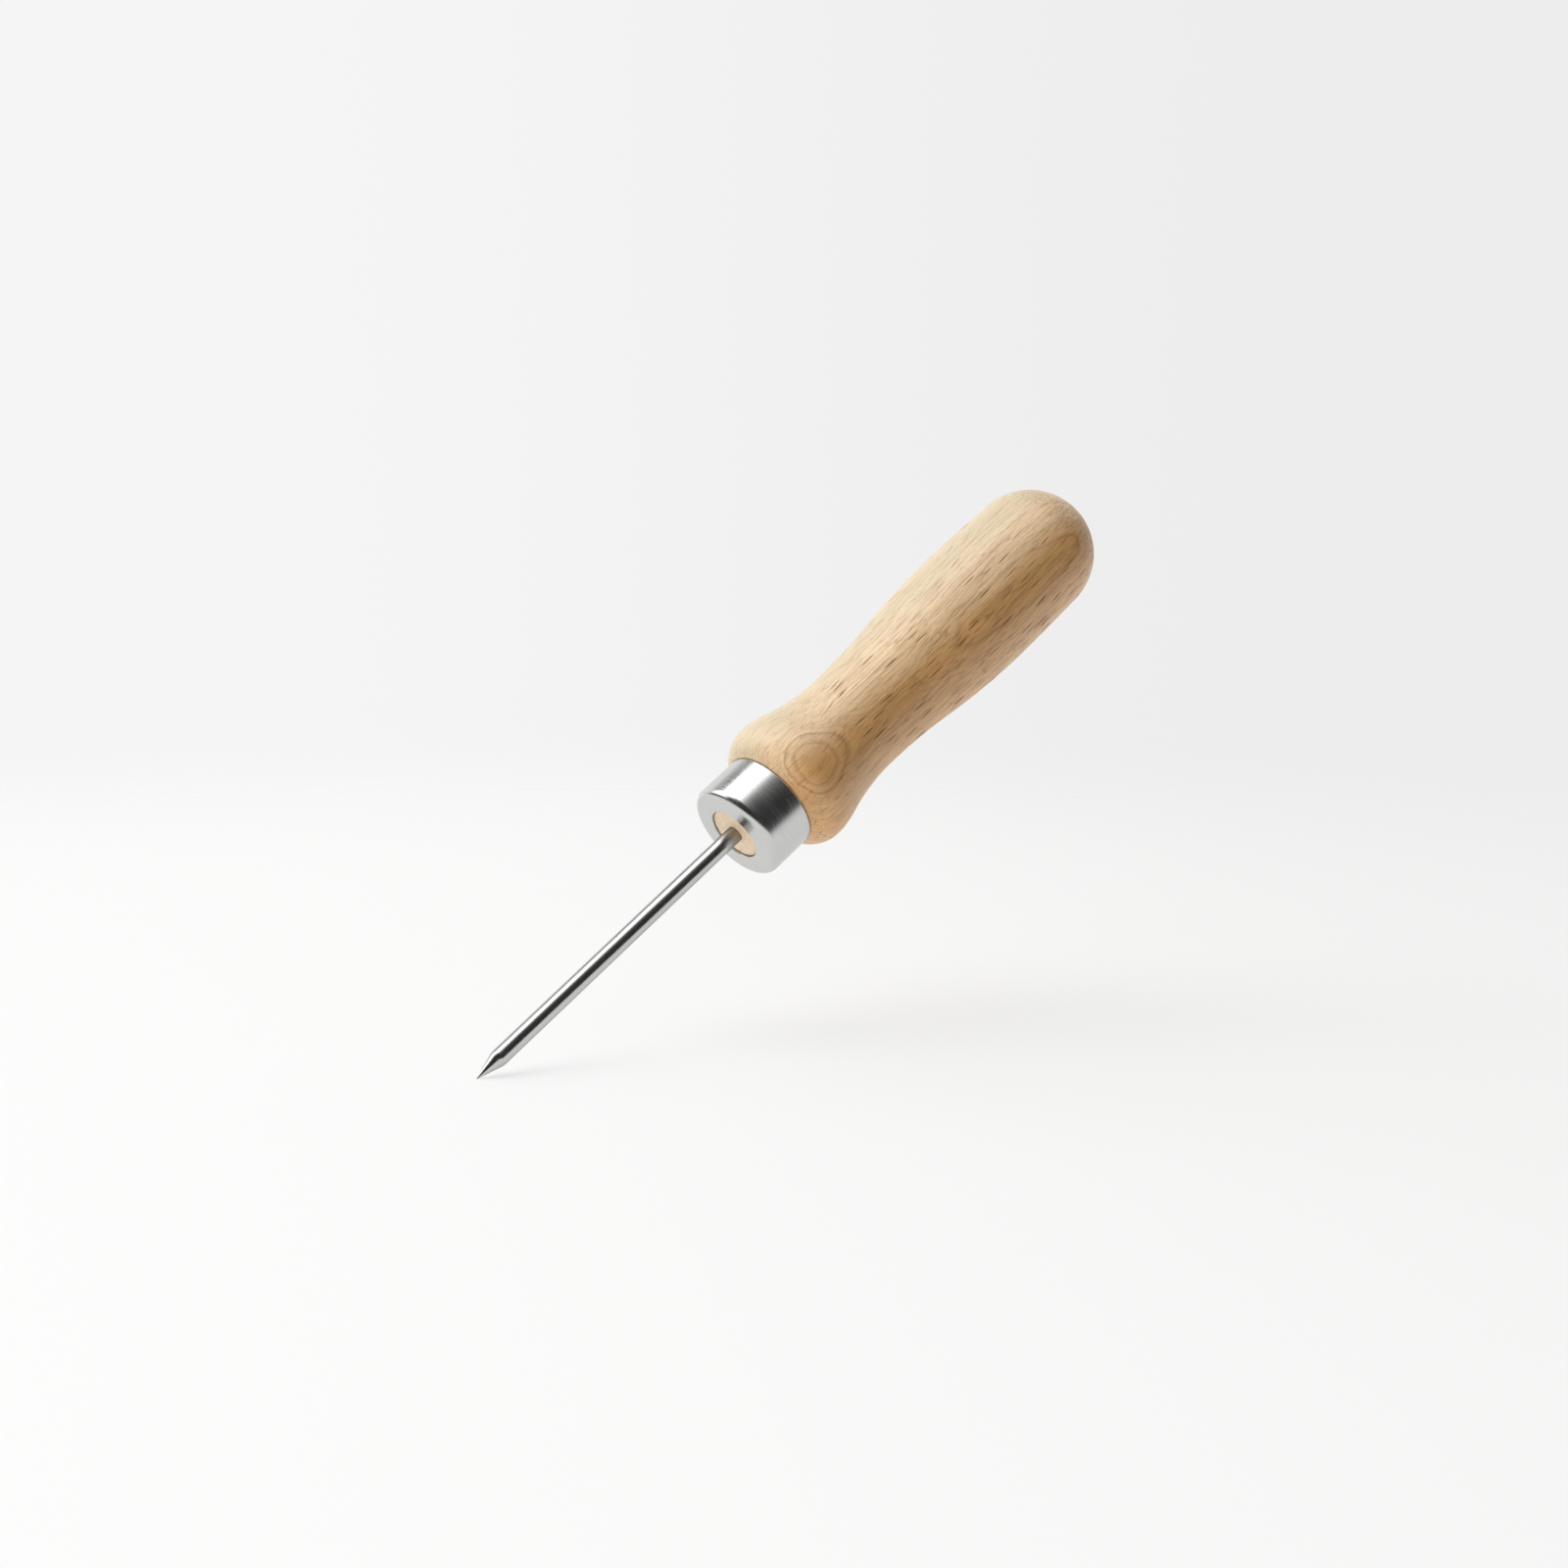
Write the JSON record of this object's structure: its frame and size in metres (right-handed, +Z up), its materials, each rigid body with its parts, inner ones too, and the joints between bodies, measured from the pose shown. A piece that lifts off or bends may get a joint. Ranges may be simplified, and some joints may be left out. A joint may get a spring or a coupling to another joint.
{
  "type": "bradawl",
  "caption": "Round bradawl with a conical point: polished steel blade, drawn steel ferrule and a waisted, dome-ended turned beech handle, for pricking and marking starter holes.",
  "frame": {"origin": "on the bench under the middle of the tool, which lies on its side", "axes": "+X along the blade toward the point, +Z up from the bench, +Y completes the right-handed frame"},
  "size_m": [0.196, 0.0308, 0.0308],
  "materials": {
    "beech": "satin oiled beech",
    "ferrule_steel": "satin drawn steel",
    "blade_steel": "polished tool steel"
  },
  "bodies": {
    "root": {"handle": "beech", "ferrule": "ferrule_steel", "blade": "blade_steel"}
  },
  "joints": []
}
